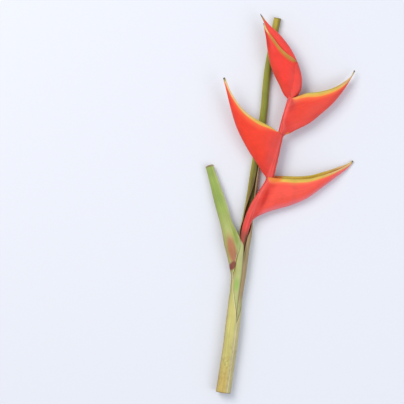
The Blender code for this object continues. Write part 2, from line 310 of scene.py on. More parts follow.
def lay_grid(name: str, table: Array, marks: Marks) -> Piece:
    """Add a flat grid, lay it over a table of points and mark them.

    Args:
        name: the piece's name.
        table: points in millimetres, by column and row.
        marks: values for the points, by column and row.

    Returns:
        The grid's object.
    """
    columns, rows = table.shape[0] - 1, table.shape[1] - 1
    bpy.ops.object.select_all(action="DESELECT")
    bpy.ops.mesh.primitive_grid_add(x_subdivisions=columns, y_subdivisions=rows, size=1.0)
    grid = bpy.context.active_object
    grid.name = name
    mesh = grid.data
    mesh.name = name
    flat = np.empty(len(mesh.vertices) * 3)
    mesh.vertices.foreach_get("co", flat)
    place = flat.reshape(-1, 3)[:, :2] + 0.5
    column = np.rint(place[:, 0] * columns).astype(int)
    row = np.rint(place[:, 1] * rows).astype(int)
    mesh.vertices.foreach_set("co", ((table[column, row] - PLAN_CENTRE) * MM).ravel())
    for mark, values in marks.items():
        attribute = mesh.attributes.new(mark.value, "FLOAT", "POINT")
        attribute.data.foreach_set("value", values[column, row].astype(np.float32))
    for order, numbers in (("ring", column), ("turn", row)):
        attribute = mesh.attributes.new(order, "INT", "POINT")
        attribute.data.foreach_set("value", numbers.astype(np.int32))
    mesh.update()
    return grid


def close_ends(piece: Piece, rings: int) -> None:
    """Close both ends of a rolled grid with a ladder of faces across each.

    The faces take the second material, which is the cut one.

    Args:
        piece: the rolled grid, open at its first and last rings.
        rings: how many rings it has.
    """
    mesh = bmesh.new()
    mesh.from_mesh(piece.data)
    ring = mesh.verts.layers.int["ring"]
    turn = mesh.verts.layers.int["turn"]
    for end in (0, rings - 1):
        loop = sorted((v for v in mesh.verts if v[ring] == end), key=lambda v: v[turn])
        for i in range((len(loop) - 1) // 2):
            j = len(loop) - 1 - i
            corners = [loop[i], loop[i + 1], loop[j - 1], loop[j]]
            if i + 1 >= j - 1:
                corners = corners[:2] + corners[3:]
            face = mesh.faces.new(corners)
            face.material_index = 1
            face.smooth = False
    bmesh.ops.recalc_face_normals(mesh, faces=mesh.faces)
    mesh.to_mesh(piece.data)
    mesh.free()


def roll(name: str, rings: Array, marks: Marks) -> Piece:
    """Make a closed body from a row of rings.

    Args:
        name: the piece's name.
        rings: points in millimetres, ring by ring, each a loop that isn't closed yet.
        marks: values for the points, or one for each ring or for each place round it.

    Returns:
        The piece, with both ends closed.
    """
    table = np.concatenate([rings, rings[:, :1]], axis=1)
    full = {mark: np.broadcast_to(values, rings.shape[:2]) for mark, values in marks.items()}
    closed = {mark: np.concatenate([values, values[:, :1]], axis=1) for mark, values in full.items()}
    piece = lay_grid(name, table, closed)
    bpy.ops.object.mode_set(mode="EDIT")
    bpy.ops.mesh.select_all(action="SELECT")
    bpy.ops.mesh.remove_doubles(threshold=1e-7)
    bpy.ops.object.mode_set(mode="OBJECT")
    piece.data.polygons.foreach_set("use_smooth", [True] * len(piece.data.polygons))
    close_ends(piece, table.shape[0])
    for order in ("ring", "turn"):
        piece.data.attributes.remove(piece.data.attributes[order])
    return piece


def dress(piece: Piece, slot: str, nodes: tuple[str, ...], *finishes: Finish) -> None:
    """Give a piece its finishes and its place in the frame.

    Args:
        piece: the finished mesh.
        slot: the record's material slot; not used.
        nodes: the solids that the piece stands for.
        finishes: its materials in order, the cut one second.
    """
    piece.data.materials.clear()
    for finish in finishes:
        piece.data.materials.append(finish.material())
    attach(piece, BODY)
    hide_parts(*nodes)
    triangles = sum(len(polygon.vertices) - 2 for polygon in piece.data.polygons)
    LOG.info("%s: %d triangles", piece.name, triangles)


# Finishes.


def linear(colour: str) -> tuple[float, float, float, float]:
    """Turn an sRGB hex colour into linear values with full cover."""
    channels = [int(colour[i : i + 2], 16) / 255.0 for i in (1, 3, 5)]
    return (*(c / 12.92 if c <= 0.04045 else ((c + 0.055) / 1.055) ** 2.4 for c in channels), 1.0)


def add_node(
    tree: Tree, kind: str, inputs: dict[Any, Any], output: int | str = 0, **settings: Any
) -> Socket:
    """Add a node with its settings and links.

    Args:
        tree: the material's tree.
        kind: the node's type.
        inputs: a value or a source socket for each input, by name or number.
        output: the output that is wanted, by name or number.
        settings: the node's own settings.

    Returns:
        The socket of that output.
    """
    node = tree.nodes.new(f"ShaderNode{kind}")
    for name, value in settings.items():
        setattr(node, name, value)
    for key, value in inputs.items():
        if isinstance(value, Socket):
            tree.links.new(value, node.inputs[key])
        else:
            node.inputs[key].default_value = value
    return node.outputs[output]


@dataclass(frozen=True)
class Layer:
    """A colour over those before it, shown where a mark passes from one value to another."""

    colour: str
    mark: Mark
    none_at: float
    full_at: float
    strength: float = 1.0
    ragged: float = 0.0


@dataclass(frozen=True)
class Finish:
    """A living plant surface: soft layers of colour, parallel veins and a waxy skin.

    Lengths are in millimetres. Veins are finer in life than a photograph shows, so they are
    drawn about twice as wide. Dashes are the short brown marks of an old skin.
    """

    name: str
    base: str
    layers: tuple[Layer, ...] = ()
    roughness: float = 0.4
    coat: float = 0.0
    coat_roughness: float = 0.28
    under_skin: float = 0.0
    skin_depth: float = 2.0
    skin_glow: tuple[float, float, float] = (1.0, 0.35, 0.2)
    gloss: float = 0.5
    patch: float = 18.0
    patch_tone: float = 0.10
    vein: Pair = (1.6, 60.0)
    vein_detail: float = 4.0
    vein_tone: float = 0.06
    vein_depth: float = 0.10
    speck: float = 0.0
    speck_colour: str = "#7d5c2e"
    dash: Pair = (1.4, 8.0)
    dash_drift: float = 22.0
    dash_shown: Pair = (0.84, 1.02)

    def material(self) -> bpy.types.Material:
        """Build the finish's material, or find it if it is there already.

        Returns:
            The material.
        """
        found = bpy.data.materials.get(self.name)
        if found is not None:
            return found
        material = bpy.data.materials.new(self.name)
        material.use_nodes = True
        tree = material.node_tree
        place = add_node(tree, "TexCoord", {}, "Object")
        noise = {"Vector": place, "Scale": 1.0 / (self.patch * MM), "Detail": 3.0}
        patches = add_node(tree, "TexNoise", noise, "Fac")
        veins = self.lines(tree, self.vein, self.vein_detail)
        colour = self.colour(tree, patches)
        for pattern, tone in ((patches, self.patch_tone), (veins, self.vein_tone)):
            ends = {"Value": pattern, 1: 0.25, 2: 0.75, 3: 1.0 - tone, 4: 1.0 + tone}
            shade = add_node(tree, "MapRange", ends)
            colour = add_node(tree, "VectorMath", {0: colour, "Scale": shade}, operation="SCALE")
        if self.speck > 0.0:
            colour = self.specks(tree, place, colour)
        wear = {"Value": patches, 1: 0.3, 2: 0.7, 3: self.roughness - 0.05, 4: self.roughness + 0.07}
        relief = {"Strength": 0.6, "Distance": self.vein_depth * MM, "Height": veins}
        shader = tree.nodes["Principled BSDF"]
        for name, source in (
            ("Base Color", colour),
            ("Roughness", add_node(tree, "MapRange", wear)),
            ("Normal", add_node(tree, "Bump", relief)),
        ):
            tree.links.new(source, shader.inputs[name])
        for name, value in (
            ("Specular IOR Level", self.gloss),
            ("Coat Weight", self.coat),
            ("Coat Roughness", self.coat_roughness),
            ("Subsurface Weight", self.under_skin),
            ("Subsurface Radius", self.skin_glow),
            ("Subsurface Scale", self.skin_depth * MM),
        ):
            shader.inputs[name].default_value = value
        return material

    def lines(self, tree: Tree, size: Pair, detail: float) -> Socket:
        """Draw noise that is stretched along the piece, by its own marks.

        Args:
            tree: the material's tree.
            size: how wide and how long its forms are, in millimetres.
            detail: how many finer layers it has.

        Returns:
            The socket with the pattern, about 0.5 on average.
        """
        axes = []
        for mark, length in zip((Mark.ACROSS, Mark.LENGTH), size):
            value = add_node(tree, "Attribute", {}, "Fac", attribute_name=mark.value)
            axes.append(add_node(tree, "Math", {0: value, 1: 1.0 / length}, operation="MULTIPLY"))
        place = add_node(tree, "CombineXYZ", {"X": axes[0], "Y": axes[1]})
        noise = {"Vector": place, "Scale": 1.0, "Detail": detail, "Roughness": 0.6}
        return add_node(tree, "TexNoise", noise, "Fac")

    def colour(self, tree: Tree, patches: Socket) -> Socket:
        """Lay the finish's colours over one another.

        Args:
            tree: the material's tree.
            patches: a soft noise that makes the layers' edges ragged.

        Returns:
            The socket with the mixed colour.
        """
        colour = add_node(tree, "RGB", {})
        colour.default_value = linear(self.base)
        for layer in self.layers:
            value = add_node(tree, "Attribute", {}, "Fac", attribute_name=layer.mark.value)
            if layer.ragged > 0.0:
                drift = {"Value": patches, 1: 0.3, 2: 0.7, 3: -layer.ragged, 4: layer.ragged}
                shift = add_node(tree, "MapRange", drift)
                value = add_node(tree, "Math", {0: value, 1: shift}, operation="ADD")
            ends = sorted(((layer.none_at, 0.0), (layer.full_at, layer.strength)))
            (low, below), (high, above) = ends
            mask = {"Value": value, 1: low, 2: high, 3: below, 4: above}
            cover = add_node(tree, "MapRange", mask, interpolation_type="SMOOTHSTEP")
            mix = {0: cover, 6: colour, 7: linear(layer.colour)}
            colour = add_node(tree, "Mix", mix, 2, data_type="RGBA")
        return colour

    def specks(self, tree: Tree, place: Socket, colour: Socket) -> Socket:
        """Scatter short brown dashes along the skin where it is old.

        Args:
            tree: the material's tree.
            place: the object's coordinates.
            colour: the colour under the dashes.

        Returns:
            The socket with the dashed colour.
        """
        dashes = self.lines(tree, self.dash, 1.0)
        noise = {"Vector": place, "Scale": 1.0 / (self.dash_drift * MM), "Detail": 1.0}
        drift = add_node(tree, "TexNoise", noise, "Fac")
        both = add_node(tree, "Math", {0: drift, 1: 0.6, 2: dashes}, operation="MULTIPLY_ADD")
        age = add_node(tree, "Attribute", {}, "Fac", attribute_name=Mark.AGE.value)
        aged = add_node(tree, "Math", {0: both, 1: age}, operation="MULTIPLY")
        none_at, full_at = self.dash_shown
        mask = {"Value": aged, 1: none_at, 2: full_at, 3: 0.0, 4: self.speck}
        cover = add_node(tree, "MapRange", mask, interpolation_type="SMOOTHSTEP")
        mix = {0: cover, 6: colour, 7: linear(self.speck_colour)}
        return add_node(tree, "Mix", mix, 2, data_type="RGBA")


@dataclass(frozen=True)
class BractColours:
    """The colours of one bract, and how far from the margin each band of it reaches."""

    body: str
    keel_and_reflection: str
    glow: str
    margin: str
    rim: str
    glow_to: float
    margin_to: float
    rim_to: float
    brink: str
    dry: float = 5.0
    pale_tip: float = 0.0
    root: float = 0.0
    brink_to: float = 1.1

    def finish(self, name: str) -> Finish:
        """Mix the finish: a waxy leaf, red in the middle and green at its margins.

        Args:
            name: the material's name.

        Returns:
            The finish.
        """
        return Finish(
            name=name,
            base=self.body,
            layers=(
                # Along the keel: partly the bract's own rose tone and partly a painted reflection, lighter
                # pink on the first bract.
                Layer(self.keel_and_reflection, Mark.KEEL, 20.0, 2.0, 0.75, 2.0),
                Layer("#e03e32", Mark.ALONG, 0.15, 0.06, 0.85),
                # Painted highlight: lighter pink at the very base of each bract.
                Layer("#f25e58", Mark.ALONG, 0.04, 0.0, 0.7),
                # Painted shade: darker red in the hollows beside the stalk and on a shaded flank.
                Layer("#c8261c", Mark.SPOT, 0.1, 0.9, 0.8),
                Layer(self.glow, Mark.EDGE, self.glow_to, self.margin_to, 0.9, 1.2),
                Layer("#a83126", Mark.INSIDE, 0.0, 1.0, 0.8),
                Layer("#d6bc40", Mark.LIP, 11.0, 6.0, 0.9, 0.5),
                Layer(self.margin, Mark.EDGE, self.margin_to * 1.15, self.margin_to * 0.8, 0.95, 0.4),
                Layer(self.rim, Mark.EDGE, self.rim_to * 1.3, self.rim_to * 0.6, 0.9, 0.2),
                Layer(self.brink, Mark.EDGE, self.brink_to * 1.5, self.brink_to * 0.5, 0.9, 0.1),
                Layer("#d9c24a", Mark.LIP, 5.0, 2.5, 0.9, 0.3),
                Layer("#e8732f", Mark.ROOT, 0.1, 0.9, self.root),
                Layer("#dc8c54", Mark.FLUSH, 0.3, 0.8, 0.8),
                Layer("#dcbc84", Mark.PALE, 0.1, 0.9, self.pale_tip),
                Layer("#9a8c50", Mark.CUT, self.dry * 2.2, self.dry, 0.75, 1.0),
                Layer("#5f5240", Mark.CUT, self.dry, self.dry * 0.5, 0.9, 0.6),
            ),
            roughness=0.42,
            coat=0.03,
            gloss=0.3,
            under_skin=0.08,
        )


# The outer leaf: a fresh sheath, yellow-green with darker ribs, tan and specked at its foot.
OUTER_LEAF_SKIN = Finish(
    name="fresh_outer_sheath",
    base="#a6b062",
    layers=(
        Layer("#c9bf72", Mark.ALONG, 0.48, 0.36, 0.9, 0.02),
        Layer("#c4a658", Mark.ALONG, 0.20, 0.02, 0.8, 0.04),
        Layer("#c0946e", Mark.TURN, 138.0, 172.0, 0.5),
        Layer("#8fa64c", Mark.ALONG, 0.70, 0.84, 0.9, 0.02),
        Layer("#bccb84", Mark.TURN, 84.0, 50.0, 0.55),
        Layer("#978a4c", Mark.TURN, 140.0, 170.0, 0.6),
        Layer("#c0b67e", Mark.TURN, 350.0, 364.0, 0.9),
        Layer("#889c44", Mark.STREAK, 0.1, 0.8, 0.8),
        Layer("#b26e50", Mark.FLUSH, 0.08, 0.75, 0.9),
        Layer("#8c9a55", Mark.INSIDE, 0.0, 1.0, 0.7),
        Layer("#dccca0", Mark.EDGE, 2.2, 0.8, 0.85, 0.2),
        Layer("#844038", Mark.SPOT, 0.25, 0.7, 0.95),
        Layer("#8a6b42", Mark.CUT, 1.6, 0.2, 0.8, 0.3),
    ),
    roughness=0.45,
    coat=0.04,
    gloss=0.4,
    under_skin=0.05,
    vein=(2.0, 90.0),
    vein_tone=0.16,
    vein_depth=0.14,
    speck=0.4,
)

# The inner leaf: green where it shows between the margins, brown-pink on its flank and
# olive along the petiole, with painted shade low on the petiole under the bracts, a painted
# highlight on its upper left side, painted shade on its upper right side, and a dark olive
# inner face that is partly its own colour and partly painted shade.
INNER_LEAF_SKIN = Finish(
    name="olive_inner_sheath",
    base="#b3b878",
    layers=(
        Layer("#7c7c34", Mark.ALONG, 0.44, 0.50, 0.95),
        # Painted shade: dark brown low on the petiole, where the bracts overhang it.
        Layer("#5a441c", Mark.ALONG, 0.48, 0.52, 0.8),
        Layer("#838a2c", Mark.ALONG, 0.54, 0.66, 0.9, 0.02),
        Layer("#b09e38", Mark.ALONG, 0.88, 0.97, 0.85, 0.02),
        # Painted highlight on the upper left side, and painted shade on the upper right side below it.
        Layer("#aa9c38", Mark.TURN, 105.0, 150.0, 0.6),
        Layer("#6a6814", Mark.TURN, 92.0, 62.0, 0.6),
        Layer("#a48a66", Mark.TURN, 346.0, 362.0, 0.9),
        Layer("#b0b274", Mark.ALONG, 0.27, 0.22),
        Layer("#b9ba82", Mark.PALE, 0.1, 0.9, 0.75),
        Layer("#66642e", Mark.SPOT, 0.1, 0.85, 0.8),
        Layer("#8eb456", Mark.STREAK, 0.1, 0.8, 0.75),
        # Dark olive inner face: partly the leaf's own colour and partly painted shade inside the sheath.
        Layer("#55521f", Mark.INSIDE, 0.0, 1.0, 0.75),
        Layer("#a8876c", Mark.EDGE, 1.4, 0.4, 0.7, 0.2),
        Layer("#7a5f38", Mark.CUT, 1.6, 0.2, 0.8, 0.3),
    ),
    roughness=0.46,
    coat=0.02,
    gloss=0.3,
    under_skin=0.04,
    vein=(1.8, 110.0),
    vein_tone=0.14,
    vein_depth=0.14,
    speck=0.35,
)

# The flower stalk: firm, rose-red and satin, with painted shade where it goes into the sheath and at its
# foot beside the notch.
STALK_SKIN = Finish(
    name="rose_flower_stalk",
    base="#de463e",
    layers=(
        Layer("#ea5e58", Mark.STREAK, 0.0, 1.0, 0.65),
        # Painted shadow of the leaf: brown-red where the stalk goes into the sheath.
        Layer("#965044", Mark.ALONG, 0.545, 0.51, 0.8),
        Layer("#b9a05a", Mark.ALONG, 0.50, 0.38, 0.9, 0.01),
        # Painted shade, dark brown, where the foot patch covers the stalk.
        Layer("#584324", Mark.SPOT, 0.1, 0.75, 0.9),
    ),
    roughness=0.42,
    coat=0.0,
    gloss=0.18,
    under_skin=0.08,
    vein=(1.8, 50.0),
)

# The true flowers: firm waxy buds, white at the foot and green at the tip.
BUD_SKIN = Finish(
    name="waxy_flower_bud",
    base="#e4e6c4",
    layers=(Layer("#7f9a4a", Mark.ALONG, 0.45, 0.95, 0.9), Layer("#f0e6a8", Mark.ALONG, 0.3, 0.0, 0.6)),
    roughness=0.35,
    coat=0.2,
    under_skin=0.2,
    vein_tone=0.04,
)

# Cut flesh: pale wet fibre with open pores that show as small dark dots.
CUT_FLESH = Finish(
    name="cut_stem_flesh",
    base="#d2b088",
    layers=(Layer("#a87c54", Mark.EDGE, 1.0, 0.0, 0.6),),
    roughness=0.6,
    patch=3.0,
    patch_tone=0.28,
    vein=(0.9, 0.9),
    vein_tone=0.2,
    vein_depth=0.3,
)

# The torn edge of a bract: matt pink-brown fibre, with no wax on it.
BRACT_CUT = Finish(name="torn_bract_edge", base="#b5694a", roughness=0.6)


# Pieces.


@dataclass
class Sheath:
    """A leaf sheath that wraps the stem and opens into a grooved petiole.

    Each row of its table is one cross-section, an open ring of an ellipse: its middle, its half
    width and half height, the angles in degrees where it starts and ends, and its wall.
    """

    node: str
    slot: str
    table: tuple[tuple[float, ...], ...]
    skin: Finish
    patches: tuple[Patch, ...]
    rings: int
    steps: int = 92
    ribs: int = 17
    rib_height: float = 0.14
    rib_fade: Pair = (0.3, 3.0)
    thinning: Pair = (0.75, 0.4)
    solid_wall: Pair = (2.6, 3.6)
    slit_width: Pair = (4.0, 14.0)
    slit_closing: float = 0.8
    hug: tuple[Pair, ...] = ((0.0, 0.0),)
    hug_reach: float = 11.0
    cut_tilt: float = 7.0
    cut_blend: float = 14.0
    girth: float = 12.0
    old_part: Pair = (0.1, 0.6)
    freshness: float = 0.55

    def build(self) -> None:
        """Model the sheath and dress it."""
        samples = np.linspace(0.0, 1.0, self.rings)
        table = np.array(self.table)
        centres = smooth_curve(table[:, :3], samples)
        sizes = steady_values(table[:, 3:], lengths_along(table), samples)
        rings, margin, turn = self.shape(samples, centres, sizes)
        length = distances_along(centres)
        rings = self.tilt_cut(rings, length)
        rings[..., 2] = np.maximum(rings[..., 2], 0.0)
        marks = {
            Mark.ALONG: samples[:, None],
            Mark.LENGTH: length[:, None],
            Mark.CUT: np.minimum(length, length[-1] - length)[:, None],
            Mark.EDGE: margin,
            Mark.TURN: turn,
            Mark.ACROSS: np.radians(turn) * self.girth,
            Mark.AGE: 1.0 - self.freshness * ease(samples, *self.old_part)[:, None],
        }
        piece = roll(f"fine_{self.node}", rings, shell_marks(rings, marks, self.patches))
        dress(piece, self.slot, (self.node,), self.skin, CUT_FLESH)

    def shape(self, samples: Array, centres: Array, sizes: Array) -> tuple[Array, Array, Array]:
        """Shape both faces, with thin rolled margins and a slit that nearly closes.

        Args:
            samples: where each ring lies along the piece.
            centres: the middle of each ring.
            sizes: the other columns of the table, for each ring.

        Returns:
            The rings, how far each outer point is from a margin, and its angle in degrees.
        """
        side = lip_spread(self.steps + 1)[None, :]
        wide, high, first, last, wall = (sizes[:, i, None] for i in range(5))
        slit = 360.0 - (last - first)
        closing = slit * self.slit_closing * (1.0 - ease(slit, *self.slit_width)) / 2.0
        first, last = first - closing, last + closing
        turn = first + (last - first) * (side + 1.0) / 2.0
        angles = np.radians(turn)
        solid = ease(wall, *self.solid_wall)
        thinning = self.thinning[0] + (self.thinning[1] - self.thinning[0]) * solid
        thick = wall * (1.0 - thinning * side**4)
        reach = (wide + high) / 2.0 * np.radians(last - first) / 2.0
        margin = reach * (1.0 - np.abs(side))
        roll_in = 1.0 - np.clip(margin / (thick / 2.0), 0.0, 1.0)
        tuck = thick / 2.0 * (1.0 - np.sqrt(1.0 - roll_in**2))
        relief = self.ribbing(angles, samples) * ease(margin, *self.rib_fade)
        hug = np.interp(centres[:, 1], *np.transpose(self.hug))[:, None]
        sunk = hug * (1.0 - ease(reach * (1.0 + side), 0.0, self.hug_reach))
        pressed = (wall - thick) * (1.0 - solid)
        frames = ring_frames(centres)
        faces = []
        for depth in (tuck - relief + pressed, thick - tuck + pressed):
            depth = depth + sunk
            faces.append(lay_rings(centres, frames, wide - depth, high - depth, angles))
        return join_faces(*faces), margin, turn

    def ribbing(self, angles: Array, samples: Array) -> Array:
        """Raise the long ribs of the skin.

        Args:
            angles: where each point lies round its ring.
            samples: where each ring lies along the piece.

        Returns:
            Heights in millimetres.
        """
        drift = np.sin(samples * 9.0)[:, None] * 0.4
        coarse = np.cos(angles * self.ribs + drift)
        fine = np.cos(angles * self.ribs * 1.7 + 1.0 - drift)
        swell = np.sin(samples * 37.0)[:, None] * np.cos(angles - 0.7) * 1.2
        return self.rib_height * (0.6 * coarse + 0.4 * fine + 0.8 * swell)

    def tilt_cut(self, rings: Array, length: Array) -> Array:
        """Cut the far end on the slant, so that its face looks up a little.

        Args:
            rings: the points.
            length: how far each ring is along the piece.

        Returns:
            The points with the last rings drawn back at their top.
        """
        along = directions(rings[-1].mean(axis=0) - rings[-2].mean(axis=0))
        height = rings[..., 2] - rings[-1, :, 2].min()
        near = 1.0 - ease(length[-1] - length, 0.0, self.cut_blend)[:, None]
        back = math.tan(math.radians(self.cut_tilt)) * height * near
        return rings - back[..., None] * along


@dataclass
class FlowerStalk:
    """The round stalk that carries the bracts, with a domed end."""

    path: tuple[tuple[float, float, float, float], ...]
    node: str = "flower_stalk"
    slot: str = "stalk"
    rings: int = 190
    fine_rings: int = 400
    sides: int = 64
    length: float = 560.0
    girth: float = 7.0
    ridges: int = 7
    ridge_height: float = 0.22
    skin_gap: float = 0.1
    full_lean: float = 3.0
    dome: tuple[Pair, ...] = ((0.25, 0.96), (0.5, 0.85), (0.75, 0.62), (0.9, 0.36))
    # Painted shade: a dark strip on the stalk's foot, beside the inner leaf's notch.
    painted_foot_shade: Patch = Patch(Mark.SPOT, (-63.0, -74.0), (19.0, 4.3), -7.0)

    def axis(self, count: int) -> Array:
        """Read the stalk's centres and radii at even steps."""
        return smooth_curve(self.path, np.linspace(0.0, 1.0, count))

    def build(self) -> None:
        """Model the stalk and dress it."""
        axis = self.axis(self.rings)
        along = directions(axis[-1, :3] - axis[-2, :3])
        end, reach = axis[-1, :3], axis[-1, 3]
        dome = [(*(end + along * reach * further), reach * share) for further, share in self.dome]
        ways = ring_frames(axis[:, :3])
        frames = tuple(np.vstack([way] + [way[-1:]] * len(dome)) for way in ways)
        axis = np.vstack([axis, dome])
        angles = np.linspace(0.0, 2.0 * math.pi, self.sides, endpoint=False)
        place = np.linspace(0.0, 1.0, len(axis))[:, None]
        ridge = np.cos(angles * self.ridges + 4.0 * place)
        radius = axis[:, 3:] - self.ridge_height * (1.0 - ridge) / 2.0
        rings = lay_rings(axis[:, :3], frames, radius, radius, angles)
        marks = {
            Mark.ALONG: place,
            Mark.LENGTH: place * self.length,
            Mark.ACROSS: angles[None, :] * self.girth,
            Mark.STREAK: (ridge + 1.0) / 2.0,
            Mark.EDGE: NO_EDGE,
            **cover_marks((self.painted_foot_shade,), rings, 1.0),
        }
        piece = roll(f"fine_{self.node}", rings, marks)
        dress(piece, self.slot, (self.node,), STALK_SKIN, CUT_FLESH)

    def nearest(self, flat: Array) -> tuple[Array, Array]:
        """Read the stalk in fine steps, and find the nearest of them to each point."""
        axis = self.axis(self.fine_rings)
        return axis, np.argmin(np.linalg.norm(flat[:, None] - axis[None, :, :3], axis=2), axis=1)

    def clasp(self, points: Array, wrap: Array) -> Array:
        """Find how far points must move to lie on the stalk, some of the way over its top.

        Args:
            points: places in millimetres, in any table.
            wrap: how far each point slides round the stalk, in degrees.

        Returns:
            The moves.
        """
        flat = points.reshape(-1, 3)
        axis, near = self.nearest(flat)
        right, up = (way[near] for way in ring_frames(axis[:, :3]))
        away = flat - axis[near, :3]
        aside = np.sum(away * right, axis=1)
        above = np.sum(away * up, axis=1)
        height = np.clip(above / self.full_lean, -1.0, 1.0)
        lean = np.radians(wrap.ravel()) * np.sign(aside) * height
        angle = (np.arctan2(above, aside) + lean)[:, None]
        reach = axis[near, 3:] + self.skin_gap
        place = axis[near, :3] + (reach * np.cos(angle) * right + reach * np.sin(angle) * up)
        return (place - flat).reshape(points.shape)

    def keep_out(self, points: Array) -> Array:
        """Push points that are inside the stalk out to its skin.

        Args:
            points: places in millimetres, in any table.

        Returns:
            The points, none of them inside the stalk.
        """
        flat = points.reshape(-1, 3)
        axis, near = self.nearest(flat)
        away = flat - axis[near, :3]
        distance = np.linalg.norm(away, axis=1)[:, None]
        short = np.maximum(axis[near, 3:] + self.skin_gap - distance, 0.0)
        return (flat + away / (distance + 1e-9) * short).reshape(points.shape)


@dataclass
class Bract:
    """One boat-shaped bract, folded along its keel and clasping the stalk.

    Places along it run from the stalk (0) to the tip (1), and places across it from the far
    margin (-1) over the keel (0) to the near margin (1).
    """

    node: str
    keel: tuple[Pair, ...]
    margin: tuple[Pair, ...]
    keel_heights: Pair
    margin_heights: Pair
    half_gap: tuple[float, ...]
    far_lift: tuple[float, ...]
    colours: BractColours
    base_bow: Pair = (0.0, 0.0)
    closing: float = 0.62
    hollow_end: float = 0.97
    opening: float = 0.2
    wall: Pair = (2.0, 0.9)
    lip_width: float = 1.2
    rings: int = 116
    steps: int = 88
    crowding: float = 1.15
    bluntness: float = 0.09
    clasp_share: float = 0.08
    wrap: float = 30.0
    band_start: float = 0.06
    pale_part: Pair = (0.5, 0.85)
    pale_band: Pair = (2.8, 5.0)
    root_part: Pair = (0.08, 0.2)
    root_band: Pair = (5.0, 11.0)
    hold_part: Pair = (190.0, 200.0)
    hold_share: float = 0.28
    hold_gap: float = 0.4
    hold_start: Pair = (2.0, 12.0)
    held_part: float = 0.6
    held_steps: int = 80
    wall_share: float = 0.13
    base_wall: float = 0.12
    depths: Pair = (16.0, 55.0)
    girth: float = 45.0
    wave: float = 0.3
    pleats: float = 55.0
    pleat_height: float = 0.07
    lip_height: float = 0.5
    lip_band: Pair = (0.2, 4.5)
    phase: float = 0.0
    patches: tuple[Patch, ...] = ()

    def frame(self, along: Array) -> tuple[Array, Array, Array]:
        """Read the keel, the middle of the margins and the half gap between them.

        Args:
            along: places along the bract.

        Returns:
            Three tables of points or moves.
        """
        ends = ((self.keel, self.keel_heights), (self.margin, self.margin_heights))
        keel, near = (
            np.column_stack([smooth_curve(path, along), heights[0] + np.diff(heights) * along])
            for path, heights in ends
        )
        lift = profile(self.far_lift, along)[:, None] * directions(near - keel)
        gap = np.zeros_like(near)
        gap[:, 2] = profile(self.half_gap, along)
        return keel, near + lift / 2.0, gap - lift / 2.0

    def fold(self, across: Array, bluntness: float) -> tuple[Array, Array]:
        """Read the section of the fold.

        Args:
            across: places across the bract.
            bluntness: how round the keel is.

        Returns:
            The height and the width, as shares of the whole.
        """
        blunt = np.sqrt(across**2 + bluntness**2) - bluntness
        reach = blunt / (math.sqrt(1.0 + bluntness**2) - bluntness)
        height = 0.5 * reach + 0.5 * (1.0 - np.cos(reach * math.pi / 2.0))
        turn = self.closing * math.pi
        return height, np.sin(np.abs(across) * turn) / math.sin(turn) * np.sign(across)

    def floor(self, keel: Array, middle: Array, wall: float) -> Array:
        """Find the bottom of the hollow, straight in from the keel.

        Args:
            keel: points of the keel.
            middle: the middle of the margins.
            wall: how far it lies from the keel, where there is room.

        Returns:
            The bottom's points.
        """
        way = directions(np.gradient(keel, axis=0))
        inward = middle - keel
        inward -= np.sum(inward * way, axis=1)[:, None] * way
        room = np.linalg.norm(inward, axis=1)[:, None]
        return keel + inward / room * np.minimum(wall, 0.5 * room)

    def faces(self, along: Array, across: Array) -> tuple[Array, Array]:
        """Lay out the outer and the inner face.

        Args:
            along: places along the bract.
            across: places across it.

        Returns:
            Two tables of points by place along and across.
        """
        keel, middle, gap = self.frame(along)
        height, width = self.fold(across, self.bluntness)
        rise = height[None, :, None]
        bend = 4.0 * rise * (1.0 - rise)
        bend = bend * ((1.0 - along) ** 3)[:, None, None] * np.array((*self.base_bow, 0.0))
        outer = keel[:, None] + (middle - keel)[:, None] * rise + gap[:, None] * width[None, :, None]
        open_share = ease(self.hollow_end - along, 0.0, self.opening)[:, None]
        floor = middle + (self.floor(keel, middle, self.wall[0]) - middle) * open_share
        reach = np.linalg.norm(outer[:, -1] - outer[:, len(across) // 2], axis=1)[:, None]
        margin = reach * (1.0 - np.abs(across))[None, :]
        lip = 1.0 - np.clip(margin / (self.wall[1] * self.lip_width), 0.0, 1.0)
        round_lip = np.sqrt(1.0 - lip**2)
        thin = self.wall[1] * round_lip / np.linalg.norm(gap, axis=1)[:, None]
        spread = across[None, :] + (width - across)[None, :] * open_share
        narrowest = NARROWEST + (1.0 - NARROWEST) * (1.0 - round_lip)
        spread = spread * np.maximum(1.0 - thin, narrowest)
        inner = floor[:, None] + (middle - floor)[:, None] * rise
        inner = inner + gap[:, None] * spread[..., None]
        return outer + bend, inner + bend

    def relief(self, along: Array, across: Array, margin: Array) -> Array:
        """Work out the soft waves, pleats and rolled lip of the skin.

        Args:
            along: places along the bract.
            across: places across it.
            margin: how far each point is from its margin, in millimetres.

        Returns:
            Heights above the plain face.
        """
        u, t = along[:, None], np.abs(across)[None, :]
        side = np.sign(across)[None, :]
        wave = np.sin(u * 11.0 + t * 3.0 + self.phase + side) * np.sin(t * 4.5 + u * 2.0 + self.phase)
        pleat = np.cos(t * self.pleats + 2.0 * np.sin(u * 5.0 + self.phase))
        lip = (1.0 - ease(margin, *self.lip_band)) * (0.9 + 0.3 * np.sin(u * 13.0 + side + self.phase))
        fade = ease(t, 0.02, 0.25) * ease(1.0 - u, 0.0, 0.25)
        roll_out = self.lip_height * lip * ease(u, 0.0, 0.15)
        return fade * (self.wave * wave + self.pleat_height * pleat + roll_out)

